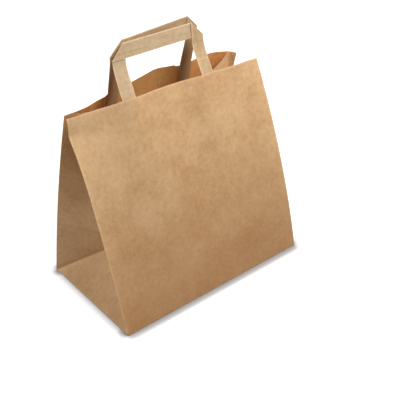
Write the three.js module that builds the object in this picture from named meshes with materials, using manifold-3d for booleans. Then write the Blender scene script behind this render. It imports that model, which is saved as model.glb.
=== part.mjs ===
// A flat-handled kraft paper carrier bag, standing open with its mouth drawn together.
// Millimetres, +Z up. The origin is the middle of the base's underside; the front panel faces -Y.
// The bag is one sheet of kraft paper folded and glued into a tube with two side gussets and a
// block bottom. Two folded flat paper handles stand up from the insides of the front and rear
// panels, and each is held there by a glued paper patch.

import * as THREE from 'three';
import Module from 'manifold-3d';

// Bag sizes
const BAG_WIDTH = 260;
const BAG_DEPTH = 170;
const BAG_HEIGHT = 249;
const PAPER = 0.25;
const FOLD = 0.8;
const BASE_FLAP_OVERLAP = 20;
const FLAP_INSET = 2;
const SEAM_LAP = 18;
const SEAM_FROM_CORNER = 22;

// Handle and patch sizes
const TAPE_WIDTH = 17;
const TAPE_THICKNESS = 0.9;
const TAPE_PRESS = 0.1;
const HANDLE_WIDTH = 124;
const HANDLE_TUCK = 75;
const PATCH_MARGIN = 8;
const PATCH_DROP = 28;
const PATCH_HEIGHT = 50;
const PATCH_RAMP = 2.5;
const GLUE_GAP = 0.3;

// The mouth seen from above: how far each top corner stands in from the base's corner along X,
// and the Y of each top edge at fractions of its width, from the left corner to the right one
const FRONT_DRAW_IN = { left: 6, right: 4 };
const REAR_DRAW_IN = { left: 10.5, right: 5 };
const FRONT_MOUTH = [
  [0, -9.5], [0.14, -10], [0.27, -20], [0.37, -17.5], [0.55, -10],
  [0.67, -19], [0.77, -17.5], [0.9, -19.5], [1, -21],
];
const REAR_MOUTH = [
  [0, 4.7], [0.11, 6.2], [0.18, 10.5], [0.25, 14], [0.4, 21.5], [0.54, 29.5],
  [0.62, 27.5], [0.7, 24], [0.79, 27.5], [0.88, 29], [0.97, 22.5], [1, 15],
];

// How the panels bend between base and mouth: the outward bow at half height at each side, how
// fast the mouth's waves die away downwards, and the dent in the front left edge
const FRONT_BOW = { left: 3, right: 8 };
const REAR_BOW = { left: 5, right: 6 };
const WAVE_FADE = 2.5;
const DENT = { depth: 7, below_mouth: 20, reach_down: 55, reach_across: 30 };

// How the gussets fold in: the extra tip of the base triangles past what their folds alone ask,
// and how far below level each crease end lies at the mouth, in degrees
const TRIANGLE_TIP = 3;
const CREASE_DROOP = { left: 9, right: 13 };

// How the handles stand. rise is how far each leg and the bar's width reach above the mouth, and
// the flat top starts at these Y values over the left and right legs, moved along X by shift and
// leaning from upright by an angle in degrees. Each leg bends on its way, by the two stiffnesses.
const FRONT_TOP = { rise: { left: 59, right: 61 }, left: -6, right: 0, shift: 1.5, lean: 2 };
const REAR_TOP = { rise: { left: 61.5, right: 63 }, left: 4.5, right: 15, shift: 4, lean: -14 };
const LEG_STIFFNESS = { mouth: 0.45, top: 0.6 };

// How fine the bent surfaces are
const MOUTH_SAMPLES = 24;
const GUSSET_CELLS = 5;
const ROW_PITCH = 22;
const COLUMN_PITCH = 15;
const LEG_ROWS = 4;
const TOP_FLAT_MARGIN = 6;

// The sharpest fold whose mitre is kept, as the cosine of half its angle
const LEAST_MITRE = 0.6;
// Distances along the paper closer than this are the same line
const SAME = 1e-9;

const HALF_WIDTH = BAG_WIDTH / 2;
const HALF_DEPTH = BAG_DEPTH / 2;
// Width of half a gusset, from the fold strip at the panel's edge to the one at the crease
const HALF_GUSSET = HALF_DEPTH - FOLD - FOLD / 2;
const PATCH_WIDTH = HANDLE_WIDTH + 2 * PATCH_MARGIN;
// How deep inside a panel's outer face a leg or the patch starts, and the patch over a leg
const LEG_DEPTH = PAPER + GLUE_GAP;
const PATCH_OVER_LEG = LEG_DEPTH + TAPE_THICKNESS + GLUE_GAP;
// The base's folds lie one paper above the ground, which the outer flap touches
const BASE_Z = PAPER;
const FLOOR_Z = 2 * PAPER;

const vec = (x, y, z) => new THREE.Vector3(x, y, z);
const lerp = THREE.MathUtils.lerp;
const radians = THREE.MathUtils.degToRad;

// Sorted stations along one direction: the named ones, with others put between them so that no
// step is longer than the pitch
function stations(named, pitch) {
  const sorted = [...new Set(named)].sort((a, b) => a - b);
  const result = [sorted[0]];
  for (let i = 1; i < sorted.length; i += 1) {
    const steps = Math.ceil((sorted[i] - sorted[i - 1]) / pitch);
    for (let k = 1; k <= steps; k += 1) {
      result.push(lerp(sorted[i - 1], sorted[i], k / steps));
    }
  }
  return result;
}

// The smooth line through the mouth's points, as Y at a fraction of the width
function mouthLine(points) {
  const curve = new THREE.SplineCurve(points.map(([across, y]) => new THREE.Vector2(across, y)));
  const samples = curve.getPoints(points.length * MOUTH_SAMPLES);
  return (across) => {
    const next = samples.findIndex((sample) => sample.x >= across);
    if (next <= 0) return next === 0 ? samples[0].y : samples.at(-1).y;
    const a = samples[next - 1];
    const b = samples[next];
    return lerp(a.y, b.y, (across - a.x) / (b.x - a.x));
  };
}

// The inward dent that stiff paper takes below the mouth at the front left edge
function dentAt(across, up) {
  const peak = BAG_HEIGHT - DENT.below_mouth;
  const rise = up < peak ? 1 - (peak - up) / DENT.reach_down : 1 - (up - peak) / DENT.below_mouth;
  const height = Math.max(0, rise);
  return DENT.depth * height * height * Math.exp(-(across * BAG_WIDTH) / DENT.reach_across);
}

// One panel as a function of the fraction across (0 left, 1 right) and the height up the paper.
// Each upright line leans from the base edge to the mouth line and bows outwards on its way, and
// the lean and the bow take from its height what keeps its length that of the paper.
function makePanel(side, mouthPoints, drawIn, bow, dent) {
  const baseY = side * HALF_DEPTH;
  const mouthY = mouthLine(mouthPoints);
  const leftY = mouthY(0);
  const rightY = mouthY(1);
  return (across, up) => {
    const part = up / BAG_HEIGHT;
    const straightY = lerp(leftY, rightY, across);
    const wave = (mouthY(across) - straightY) * part ** WAVE_FADE;
    const bulge = side * lerp(bow.left, bow.right, across) * 4 * part * (1 - part);
    const y = lerp(baseY, straightY, part) + wave + bulge - side * dent(across, up);
    const inwards = Math.abs(baseY - mouthY(across));
    const bowLoss = (16 / 3) * lerp(bow.left, bow.right, across) ** 2;
    const z = part * Math.sqrt(BAG_HEIGHT ** 2 - inwards ** 2 - bowLoss);
    const baseX = lerp(-HALF_WIDTH, HALF_WIDTH, across);
    return vec(baseX + part * lerp(drawIn.left, -drawIn.right, across), y, BASE_Z + z);
  };
}

// One gusset: the base triangle that tilts inwards, and two halves that run from the panels'
// edges to the crease. Each point of the crease lies half a gusset away from both panels' edges.
function makeGusset(toRight, frontPanel, rearPanel) {
  const across = toRight ? 1 : 0;
  const inward = toRight ? -1 : 1;
  const sideX = -inward * HALF_WIDTH;
  const edges = [frontPanel, rearPanel].map((panel, index) => {
    const step = vec(0, index === 0 ? FOLD : -FOLD, 0);
    return (up) => panel(across, up).add(step);
  });
  const tilts = edges.map((edge, index) => {
    const foot = edge(0);
    const top = edge(HALF_GUSSET).sub(foot);
    const sideways = inward * top.x;
    const reach = (HALF_GUSSET ** 2 + top.lengthSq()) / (2 * HALF_GUSSET) - Math.abs(top.y);
    const length = Math.hypot(sideways, top.z);
    return Math.atan2(sideways, top.z) + Math.acos(Math.min(1, reach / length));
  });
  const tilt = (tilts[0] + tilts[1]) / 2 + radians(TRIANGLE_TIP);
  const trianglePoint = (y, up) =>
    vec(sideX + inward * up * Math.sin(tilt), y, BASE_Z + up * Math.cos(tilt));

  const middle = (up) => edges[0](up).add(edges[1](up)).divideScalar(2);
  const toApex = trianglePoint(0, HALF_GUSSET).sub(middle(HALF_GUSSET));
  const apexDroop = Math.atan2(-toApex.z, inward * toApex.x);
  const mouthDroop = radians(toRight ? CREASE_DROOP.right : CREASE_DROOP.left);
  const creaseAt = (up) => {
    const gap = edges[0](up).distanceTo(edges[1](up)) / 2 - FOLD / 2;
    const reach = Math.sqrt(HALF_GUSSET ** 2 - gap ** 2);
    const climb = (up - HALF_GUSSET) / (BAG_HEIGHT - HALF_GUSSET);
    const droop = lerp(apexDroop, mouthDroop, climb);
    const start = middle(up);
    return start.add(vec(inward * reach * Math.cos(droop), 0, -reach * Math.sin(droop)));
  };

  return (index, inFromEdge, up) => {
    const side = index === 0 ? -1 : 1;
    const triangleY = (distance) => side * (HALF_DEPTH - FOLD - distance);
    if (up < inFromEdge) return trianglePoint(triangleY(inFromEdge), up);
    const edge = edges[index](up);
    if (inFromEdge === 0) return edge;
    const far = up <= HALF_GUSSET
      ? trianglePoint(triangleY(up), up)
      : creaseAt(up).add(vec(0, (side * FOLD) / 2, 0));
    return edge.lerp(far, inFromEdge / Math.min(up, HALF_GUSSET));
  };
}

// The outward direction at each point of a grid, lengthened at folds so that an offset along it
// keeps the sheet's thickness. Rows run upwards, and columns to the right seen from outside.
function gridNormals(grid, closed) {
  const rowCount = grid.length;
  const columnCount = grid[0].length;
  const faceNormal = (i, j) => {
    const next = (j + 1) % columnCount;
    const a = grid[i + 1][next].clone().sub(grid[i][j]);
    const b = grid[i + 1][j].clone().sub(grid[i][next]);
    return a.cross(b).normalize();
  };
  return grid.map((row, i) => row.map((_, j) => {
    const faces = [];
    for (const fi of [i - 1, i]) {
      for (const fj of [j - 1, j]) {
        const inRows = fi >= 0 && fi < rowCount - 1;
        const inColumns = closed || (fj >= 0 && fj < columnCount - 1);
        if (inRows && inColumns) faces.push(faceNormal(fi, (fj + columnCount) % columnCount));
      }
    }
    const mean = faces.reduce((sum, face) => sum.add(face), vec(0, 0, 0)).normalize();
    const least = Math.max(LEAST_MITRE, Math.min(...faces.map((face) => face.dot(mean))));
    return mean.divideScalar(least);
  }));
}

// A closed solid between an outer and an inner grid of the same shape. A closed grid is a tube,
// and its two lowest rows are flat rings that a floor fills. rising says for a cell whether it is
// split from its lower left to its upper right corner.
function gridSolid(outer, inner, { closed = false, rising = () => true } = {}) {
  const rowCount = outer.length;
  const columnCount = outer[0].length;
  const middles = closed ? [vec(0, 0, outer[0][0].z), vec(0, 0, inner[0][0].z)] : [];
  const points = [...outer.flat(), ...inner.flat(), ...middles];
  const positions = points.flatMap((point) => point.toArray());
  const at = (layer, i, j) => (layer * rowCount + i) * columnCount + (j % columnCount);
  const triangles = [];
  const quad = (a, b, c, d) => triangles.push(a, b, c, a, c, d);
  const cells = closed ? columnCount : columnCount - 1;
  for (let i = 0; i < rowCount - 1; i += 1) {
    for (let j = 0; j < cells; j += 1) {
      const o = [at(0, i, j), at(0, i, j + 1), at(0, i + 1, j + 1), at(0, i + 1, j)];
      const n = [at(1, i, j), at(1, i, j + 1), at(1, i + 1, j + 1), at(1, i + 1, j)];
      if (rising(i, j)) {
        quad(o[0], o[1], o[2], o[3]);
        quad(n[2], n[1], n[0], n[3]);
      } else {
        quad(o[1], o[2], o[3], o[0]);
        quad(n[1], n[0], n[3], n[2]);
      }
    }
  }
  const last = rowCount - 1;
  for (let j = 0; j < cells; j += 1) {
    quad(at(0, last, j), at(0, last, j + 1), at(1, last, j + 1), at(1, last, j));
    if (closed) {
      triangles.push(points.length - 2, at(0, 0, j + 1), at(0, 0, j));
      triangles.push(points.length - 1, at(1, 0, j), at(1, 0, j + 1));
    } else {
      quad(at(1, 0, j), at(1, 0, j + 1), at(0, 0, j + 1), at(0, 0, j));
    }
  }
  if (!closed) {
    const end = columnCount - 1;
    for (let i = 0; i < last; i += 1) {
      quad(at(0, i, end), at(1, i, end), at(1, i + 1, end), at(0, i + 1, end));
      quad(at(1, i, 0), at(0, i, 0), at(0, i + 1, 0), at(1, i + 1, 0));
    }
  }
  const geometry = new THREE.BufferGeometry();
  geometry.setAttribute('position', new THREE.Float32BufferAttribute(positions, 3));
  geometry.setIndex(triangles);
  return geometry;
}

const wasm = await Module();
wasm.setup();

function toSolid(geometry) {
  return new wasm.Manifold(new wasm.Mesh({
    numProp: 3,
    vertProperties: new Float32Array(geometry.getAttribute('position').array),
    triVerts: new Uint32Array(geometry.getIndex().array),
  }));
}

function toGeometry(solid) {
  const mesh = solid.getMesh();
  const geometry = new THREE.BufferGeometry();
  geometry.setAttribute('position', new THREE.Float32BufferAttribute(mesh.vertProperties, 3));
  geometry.setIndex(new THREE.Uint32BufferAttribute(mesh.triVerts, 1));
  geometry.computeVertexNormals();
  return geometry;
}

const joined = (geometries) =>
  toGeometry(geometries.map(toSolid).reduce((whole, next) => whole.add(next)));

// A flat plate with the given outline in X and Y, from one height to another
function plate(outline, bottom, top) {
  const ring = (z) => outline.map(([x, y]) => vec(x, y, z));
  const positions = [...ring(bottom), ...ring(top)].flatMap((point) => point.toArray());
  const count = outline.length;
  const shape = outline.map(([x, y]) => new THREE.Vector2(x, y));
  const faces = THREE.ShapeUtils.triangulateShape(shape, []);
  const triangles = faces.flatMap(([a, b, c]) => [a, c, b, a + count, b + count, c + count]);
  for (let i = 0; i < count; i += 1) {
    const next = (i + 1) % count;
    triangles.push(i, next, next + count, i, next + count, i + count);
  }
  const geometry = new THREE.BufferGeometry();
  geometry.setAttribute('position', new THREE.Float32BufferAttribute(positions, 3));
  geometry.setIndex(triangles);
  return geometry;
}

// Where the handle's legs cross a panel, as fractions of its width at the mouth
function handleColumns(panel) {
  const left = panel(0, BAG_HEIGHT).x;
  const width = panel(1, BAG_HEIGHT).x - left;
  const fraction = (x) => (x - left) / width;
  const outer = HANDLE_WIDTH / 2;
  const inner = outer - TAPE_WIDTH;
  return {
    legs: [[fraction(-outer), fraction(-inner)], [fraction(inner), fraction(outer)]],
    ramps: [-outer - PATCH_RAMP, -inner + PATCH_RAMP, inner - PATCH_RAMP, outer + PATCH_RAMP]
      .map(fraction),
    patch: [fraction(-PATCH_WIDTH / 2), fraction(PATCH_WIDTH / 2)],
  };
}

// Rows up the paper, shared by every layer: the gusset triangle's, then the patch's and the
// handle's ends, the dent and the mouth
const patchTop = BAG_HEIGHT - PATCH_DROP;
const patchBottom = patchTop - PATCH_HEIGHT;
const tuckEnd = BAG_HEIGHT - HANDLE_TUCK;
const triangleRows = Array.from({ length: GUSSET_CELLS + 1 }, (_, i) =>
  (HALF_GUSSET * i) / GUSSET_CELLS);
const rows = [
  ...triangleRows.slice(0, -1),
  ...stations([
    HALF_GUSSET, patchBottom, tuckEnd, patchTop, BAG_HEIGHT - DENT.below_mouth, BAG_HEIGHT,
  ], ROW_PITCH),
];

const frontPanel = makePanel(-1, FRONT_MOUTH, FRONT_DRAW_IN, FRONT_BOW, dentAt);
const rearPanel = makePanel(1, REAR_MOUTH, REAR_DRAW_IN, REAR_BOW, () => 0);

function panelColumns(panel, extra) {
  const handle = handleColumns(panel);
  const named = [0, 1, ...handle.legs.flat(), ...handle.ramps, ...handle.patch, ...extra];
  const insideLeg = (across) =>
    handle.legs.some(([a, b]) => across > a + SAME && across < b - SAME);
  return stations(named, COLUMN_PITCH / BAG_WIDTH).filter((across) => !insideLeg(across));
}

const seamEdges = [SEAM_FROM_CORNER, SEAM_FROM_CORNER + SEAM_LAP].map((x) => x / BAG_WIDTH);
const seamTop = [seamEdges[0] + PAPER / BAG_WIDTH, seamEdges[1] - PAPER / BAG_WIDTH];
const frontColumns = panelColumns(frontPanel, []);
const rearColumns = panelColumns(rearPanel, [...seamEdges, ...seamTop]).reverse();
const gussetColumns = triangleRows;

// The whole tube's outer face, seen from outside and going round to the right: front panel,
// right gusset, rear panel, left gusset
function tubeGrid() {
  const rightGusset = makeGusset(true, frontPanel, rearPanel);
  const leftGusset = makeGusset(false, frontPanel, rearPanel);
  const inwards = gussetColumns;
  const outwards = [...gussetColumns].reverse();
  return rows.map((up) => [
    ...frontColumns.map((across) => frontPanel(across, up)),
    ...inwards.map((v) => rightGusset(0, v, up)),
    ...outwards.map((v) => rightGusset(1, v, up)),
    ...rearColumns.map((across) => rearPanel(across, up)),
    ...inwards.map((v) => leftGusset(1, v, up)),
    ...outwards.map((v) => leftGusset(0, v, up)),
  ]);
}

const tube = tubeGrid();
const tubeNormals = gridNormals(tube, true);
const gussetCount = gussetColumns.length;
const rearStart = frontColumns.length + 2 * gussetCount;
const leftGussetStart = rearStart + rearColumns.length;

// Cells of the gussets' second halves are split the other way, along their diagonal crease
function splitRising(i, j) {
  const rightSecond = frontColumns.length + gussetCount;
  const leftSecond = leftGussetStart + gussetCount;
  const inSecond = (start) => j >= start - 1 && j < start + gussetCount - 1;
  return !(inSecond(rightSecond) || inSecond(leftSecond));
}

// A grid moved into the bag by a depth for each column
const inset = (grid, normals, depthAt) =>
  grid.map((row, i) => row.map((point, j) =>
    point.clone().addScaledVector(normals[i][j], -depthAt(j))));

// The glued lap of the tube's seam, a second thickness of paper outside the rear panel
function isOnSeam(j) {
  const across = rearColumns[j - rearStart];
  return across >= seamTop[0] - SAME && across <= seamTop[1] + SAME;
}

// The sheet's walls and floor. The inner face's lowest row is slid up the wall to the floor.
function bagSheet() {
  const outer = inset(tube, tubeNormals, (j) => (isOnSeam(j) ? -PAPER : 0));
  for (const point of outer[0]) point.z = BASE_Z;
  const inner = inset(tube, tubeNormals, () => PAPER);
  inner[0].forEach((point, j) => {
    const above = inner[1][j];
    point.lerp(above, (FLOOR_Z - point.z) / (above.z - point.z));
  });
  return gridSolid(outer, inner, { closed: true, rising: splitRising });
}

// The block bottom's glued flaps: the front flap below the sheet, reaching past the middle over
// the rear one, and the two side flaps folded in above it, with ends cut at 45 degrees
function bottomFlaps() {
  const x = HALF_WIDTH - FLAP_INSET;
  const y = HALF_DEPTH - FLAP_INSET;
  const reach = BASE_FLAP_OVERLAP / 2;
  const frontCut = y + reach;
  const frontFlap = [[-x, -y], [x, -y], [x - frontCut, reach], [frontCut - x, reach]];
  const sideFlap = [[x, -y], [x, y], [x - y + reach, reach], [x - y + reach, -reach]];
  const mirrored = sideFlap.map(([px, py]) => [-px, py]).reverse();
  return [
    plate(frontFlap, 0, BASE_Z + PAPER / 2),
    plate(sideFlap, FLOOR_Z - PAPER / 2, FLOOR_Z + PAPER),
    plate(mirrored, FLOOR_Z - PAPER / 2, FLOOR_Z + PAPER),
  ];
}

const bagBody = () => joined([bagSheet(), ...bottomFlaps()]);

// A panel's own part of the tube, its columns turned to run as seen from outside
const panels = {
  front: { start: 0, columns: frontColumns, point: frontPanel, top: FRONT_TOP, side: -1 },
  rear: { start: rearStart, columns: rearColumns, point: rearPanel, top: REAR_TOP, side: 1 },
};

const columnAt = (panel, across) =>
  panel.columns.findIndex((value) => Math.abs(value - across) < SAME);

// A leg's centre line points inside the bag, for the given edge of the leg
function tuckedPoints(panel, across, rowList) {
  const j = panel.start + columnAt(panel, across);
  const depth = LEG_DEPTH + TAPE_THICKNESS / 2;
  return rowList.map((i) => ({
    point: tube[i][j].clone().addScaledVector(tubeNormals[i][j], -depth),
    normal: tubeNormals[i][j].clone().normalize(),
  }));
}

// The handle's flat top: a point at a distance from the handle's middle and a height above the
// start of the flat, and its outward direction
function handleTop(panel) {
  const { rise, shift, lean } = panel.top;
  const corners = ['left', 'right'].map((hand, leg) => {
    const across = handleColumns(panel.point).legs[leg][leg];
    const mouth = tube.at(-1)[panel.start + columnAt(panel, across)];
    const x = shift + (leg === 0 ? -1 : 1) * (HANDLE_WIDTH / 2);
    const y = panel.top[hand];
    const flatStart = rise[hand] - TAPE_WIDTH - TOP_FLAT_MARGIN;
    const away = Math.hypot(y - mouth.y, x - mouth.x);
    return vec(x, y, mouth.z + Math.sqrt(flatStart ** 2 - away ** 2));
  });
  const start = corners[0].clone().add(corners[1]).divideScalar(2);
  const along = corners[1].clone().sub(corners[0]).normalize();
  const angle = radians(lean);
  const leaning = vec(0, Math.sin(angle), Math.cos(angle));
  const normal = along.clone().cross(leaning).normalize();
  const up = normal.clone().cross(along);
  return {
    normal: normal.multiplyScalar(-panel.side),
    up,
    at: (across, height) =>
      start.clone().addScaledVector(along, across).addScaledVector(up, height),
  };
}

// One leg from its tucked end to its 45 degree folded end, as a solid of two columns. layer puts
// it behind or in front of the bar.
function handleLeg(panel, top, legIndex, layer) {
  const [leftAcross, rightAcross] = handleColumns(panel.point).legs[legIndex];
  const isLeft = legIndex === 0;
  const outerX = HANDLE_WIDTH / 2;
  const innerX = outerX - TAPE_WIDTH;
  const topX = isLeft ? [-outerX, -innerX] : [innerX, outerX];
  const rowList = rows.map((up, i) => i).filter((i) => rows[i] >= tuckEnd - SAME);
  const columns = [leftAcross, rightAcross].map((across, side) => {
    const tucked = tuckedPoints(panel, across, rowList);
    const { point: from, normal: fromNormal } = tucked.at(-1);
    const fromUp = from.clone().sub(tucked.at(-2).point).normalize();
    const shift = top.normal.clone().multiplyScalar(layer * (TAPE_THICKNESS - TAPE_PRESS));
    const to = top.at(topX[side], 0).add(shift);
    const length = from.distanceTo(to);
    const free = [];
    for (let k = 1; k <= LEG_ROWS; k += 1) {
      const t = k / LEG_ROWS;
      const a = 2 * t ** 3 - 3 * t ** 2 + 1;
      const b = (t ** 3 - 2 * t ** 2 + t) * LEG_STIFFNESS.mouth;
      const c = (t ** 3 - t ** 2) * LEG_STIFFNESS.top;
      const point = from.clone().multiplyScalar(a).addScaledVector(fromUp, b * length)
        .addScaledVector(to, 1 - a).addScaledVector(top.up, c * length);
      free.push({ point, normal: fromNormal.clone().lerp(top.normal, t).normalize() });
    }
    const isOuter = isLeft === (side === 0);
    const endHeight = isOuter ? TOP_FLAT_MARGIN : TOP_FLAT_MARGIN + TAPE_WIDTH;
    free.push({ point: top.at(topX[side], endHeight).add(shift), normal: top.normal });
    return [...tucked, ...free];
  });
  const ordered = panel.side < 0 ? columns : [...columns].reverse();
  const face = (offset) => ordered[0].map((_, i) => ordered.map((column) =>
    column[i].point.clone().addScaledVector(column[i].normal, offset * TAPE_THICKNESS)));
  return gridSolid(face(0.5), face(-0.5));
}

// The bar across the top, its ends cut along the 45 degree folds
function handleBar(panel, top) {
  const outerX = HANDLE_WIDTH / 2;
  const innerX = outerX - TAPE_WIDTH;
  const low = [top.at(-outerX, TOP_FLAT_MARGIN), top.at(outerX, TOP_FLAT_MARGIN)];
  const high = [-innerX, innerX].map((x) => top.at(x, TOP_FLAT_MARGIN + TAPE_WIDTH));
  const grid = panel.side < 0 ? [low, high] : [low.reverse(), high.reverse()];
  const face = (offset) => grid.map((row) => row.map((point) =>
    point.clone().addScaledVector(top.normal, offset * TAPE_THICKNESS)));
  return gridSolid(face(0.5), face(-0.5));
}

// One handle: the tape runs up one leg, folds over to the bar and folds over again to the other
// leg, so that each length lies outside the one before
function handle(panel) {
  const top = handleTop(panel);
  const first = panel.side < 0 ? 0 : 1;
  return joined([
    handleBar(panel, top),
    handleLeg(panel, top, first, -1),
    handleLeg(panel, top, 1 - first, 1),
  ]);
}

// The patch: a sheet glued to the panel that climbs over both legs
function handlePatch(panel) {
  const { legs, patch } = handleColumns(panel.point);
  const inPatch = (across) => across >= patch[0] - SAME && across <= patch[1] + SAME;
  const onLeg = (across) => legs.some(([a, b]) => across >= a - SAME && across <= b + SAME);
  const columns = panel.columns.map((across, k) => k).filter((k) => inPatch(panel.columns[k]));
  const rowList = rows.map((up, i) => i)
    .filter((i) => rows[i] >= patchBottom - SAME && rows[i] <= patchTop + SAME);
  const layer = (extra) => rowList.map((i) => columns.map((k) => {
    const depth = onLeg(panel.columns[k]) ? PATCH_OVER_LEG : LEG_DEPTH;
    const j = panel.start + k;
    return tube[i][j].clone().addScaledVector(tubeNormals[i][j], -depth - extra);
  }));
  return gridSolid(layer(0), layer(PAPER));
}

function kraft(colour, roughness) {
  return new THREE.MeshStandardMaterial({ color: colour, roughness, metalness: 0 });
}

function part(name, geometry, material) {
  const mesh = new THREE.Mesh(geometry, material);
  mesh.name = name;
  return mesh;
}

const bag = new THREE.Group();
bag.add(
  part('bag_body', bagBody(), kraft('#c9a073', 0.85)),
  part('front_handle', handle(panels.front), kraft('#d2ae80', 0.8)),
  part('rear_handle', handle(panels.rear), kraft('#c8a375', 0.8)),
  part('front_handle_patch', handlePatch(panels.front), kraft('#c0965f', 0.88)),
  part('rear_handle_patch', handlePatch(panels.rear), kraft('#b98f5a', 0.88)),
);

export default bag;
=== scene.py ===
"""A flat-handled kraft paper carrier bag, standing open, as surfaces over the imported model.

Metres, +Z up, the front panel facing -Y. The bag's shape is worked out in millimetres from the
same sizes as its solids and turned into metres when a mesh is made."""

import math

import bpy
import numpy as np
from bpy.props import FloatProperty, FloatVectorProperty, PointerProperty
from mathutils import Matrix, Vector


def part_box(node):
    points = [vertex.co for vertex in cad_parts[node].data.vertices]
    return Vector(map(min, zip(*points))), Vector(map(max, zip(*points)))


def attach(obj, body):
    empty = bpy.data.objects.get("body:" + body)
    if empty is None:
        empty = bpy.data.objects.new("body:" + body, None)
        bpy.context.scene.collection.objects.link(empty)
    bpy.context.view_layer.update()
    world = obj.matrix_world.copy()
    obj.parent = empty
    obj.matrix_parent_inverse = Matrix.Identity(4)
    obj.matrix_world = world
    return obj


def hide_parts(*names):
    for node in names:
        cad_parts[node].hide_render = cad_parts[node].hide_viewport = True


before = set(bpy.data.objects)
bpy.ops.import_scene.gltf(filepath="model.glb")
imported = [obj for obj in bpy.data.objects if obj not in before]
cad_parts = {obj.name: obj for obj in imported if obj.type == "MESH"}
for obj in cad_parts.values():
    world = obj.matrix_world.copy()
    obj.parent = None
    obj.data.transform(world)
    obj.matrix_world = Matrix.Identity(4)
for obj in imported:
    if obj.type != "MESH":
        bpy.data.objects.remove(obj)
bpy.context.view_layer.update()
BODY_LOW, BODY_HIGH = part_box("bag_body")

bl_info = {
    "name": "Kraft carrier bag",
    "version": (1, 0, 0),
    "blender": (4, 5, 0),
    "location": "View3D > Sidebar > Carrier bag",
    "description": "Builds a folded kraft paper carrier bag with flat paper handles",
    "category": "Object",
}

MM = 0.001

# A panel's side, as the sign of its Y
FRONT, REAR = -1, 1

# The mouth seen from above, in mm: how far each top corner stands in from the base's corner, and
# the Y of each top edge at fractions of its width
FRONT_DRAW_IN = (6.0, 4.0)
REAR_DRAW_IN = (10.5, 5.0)
FRONT_MOUTH = (
    (0, -9.5), (0.14, -10), (0.27, -20), (0.37, -17.5), (0.55, -10),
    (0.67, -19), (0.77, -17.5), (0.9, -19.5), (1, -21),
)
REAR_MOUTH = (
    (0, 4.7), (0.11, 6.2), (0.18, 10.5), (0.25, 14), (0.4, 21.5), (0.54, 29.5),
    (0.62, 27.5), (0.7, 24), (0.79, 27.5), (0.88, 29), (0.97, 22.5), (1, 15),
)

# How the panels bend: outward bow at half height at the left and right sides in mm, and the power
# of the height by which the mouth's waves fade downwards
FRONT_BOW = (3.0, 8.0)
REAR_BOW = (5.0, 6.0)
WAVE_FADE = 2.5

# The dent below the front left corner, in mm
DENT_DEPTH, DENT_BELOW_MOUTH, DENT_ROUND = 7.0, 22.0, 5.0
DENT_REACH_DOWN, DENT_REACH_ACROSS = 55.0, 30.0

# The panels' soft buckles, in mm: height and cell of each size of hills, and where they start and
# have grown full, counted from the side folds and from the base
BUCKLES = ((0.55, (48.0, 75.0)), (0.16, (19.0, 27.0)))
BUCKLE_FROM_SIDE, BUCKLE_FROM_BASE = (2.0, 24.0), (4.0, 40.0)

# The faint ridge over each glued leg, in mm: its height, and its slope's start and end, counted
# from the tape's edge and from the leg's lower end
LEG_RIDGE, RIDGE_BESIDE, RIDGE_BELOW = 0.10, (-1.0, 2.0), -3.0

# The gussets, in degrees: extra tip of the base triangles, and droop of the left and right
# creases' upper ends
TRIANGLE_TIP = 3.0
CREASE_DROOP = (9.0, 13.0)

# The handles' flat tops: rise above the mouth and Y over the left and right legs, shift along X
# in mm and lean in degrees
FRONT_TOP = {"rise": (59.0, 61.0), "y": (-6.0, 0.0), "shift": 1.5, "lean": 2.0}
REAR_TOP = {"rise": (61.5, 63.0), "y": (4.5, 15.0), "shift": 4.0, "lean": -14.0}

# How far a free leg holds the direction in which it leaves the bag, and the upright one in which
# it comes to the flat top, as shares of its length
LEG_STIFFNESS = (0.45, 0.6)

# Distances on the handles, in mm: from the flat top's start to its corners' folds, the gap
# between a folded corner's two layers, and from the paper to a glued leg
TOP_FLAT_MARGIN, LAYER_GAP, GLUE_GAP = 6.0, 0.1, 0.3

# The mouth's cut edge, in mm: height and both ends of its raised stretch, half the width of the
# stretch's slopes, and how far down the paper follows
RIM_STEP = {FRONT: (0.6, -70.0, 70.0), REAR: (1.3, -70.0, 39.5)}
RIM_SLOPE, RIM_REACH = 0.6, 12.0

# The patches, in mm: gap to the paper, extra gap over a leg, and the slope beside a leg
PATCH_GAP, PATCH_OVER, PATCH_SLOPE = 0.15, 0.1, (0.1, 2.4)

# Small random waves, in mm: height, cell and where in the noise they start
RIM_WAVE, RIM_WAVE_CELL, RIM_WAVE_START = 0.22, (7.0, 1.0), 200.0
TAPE_WAVE, TAPE_WAVE_CELL = 0.12, (9.0, 11.0)
PATCH_WAVE, PATCH_WAVE_CELL, PATCH_WAVE_START = 0.12, (16.0, 12.0), 300.0

# The noises' seeds, front and rear
BUCKLE_SEED = {FRONT: 11, REAR: 23}
RIM_SEED = {FRONT: 40, REAR: 42}
TAPE_SEED = {FRONT: 6, REAR: 4}
PATCH_SEED = {FRONT: 30, REAR: 32}

# How far in from the fold and down from the mouth the rear right corner's curl reaches, in mm,
# and how tightly it turns away at its end
CURL_ACROSS, CURL_DOWN, CURL_TURN = 8.0, 90.0, 4

# The base: the rounding of its edge in mm, the rows that make it, as inset, rise and height in
# the paper's pattern, and its flaps' inset in mm and levels in thicknesses of paper
BASE_ROUND = 0.5
BASE_ROWS = ((0.5, 0.0, -0.6), (0.15, 0.15, -0.2))
FLAP_INSET = 2.0
FRONT_FLAP, REAR_FLAP, SIDE_FLAP = (0.0, 0.6), (0.5, 1.0), (2.0, 3.0)

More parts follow.
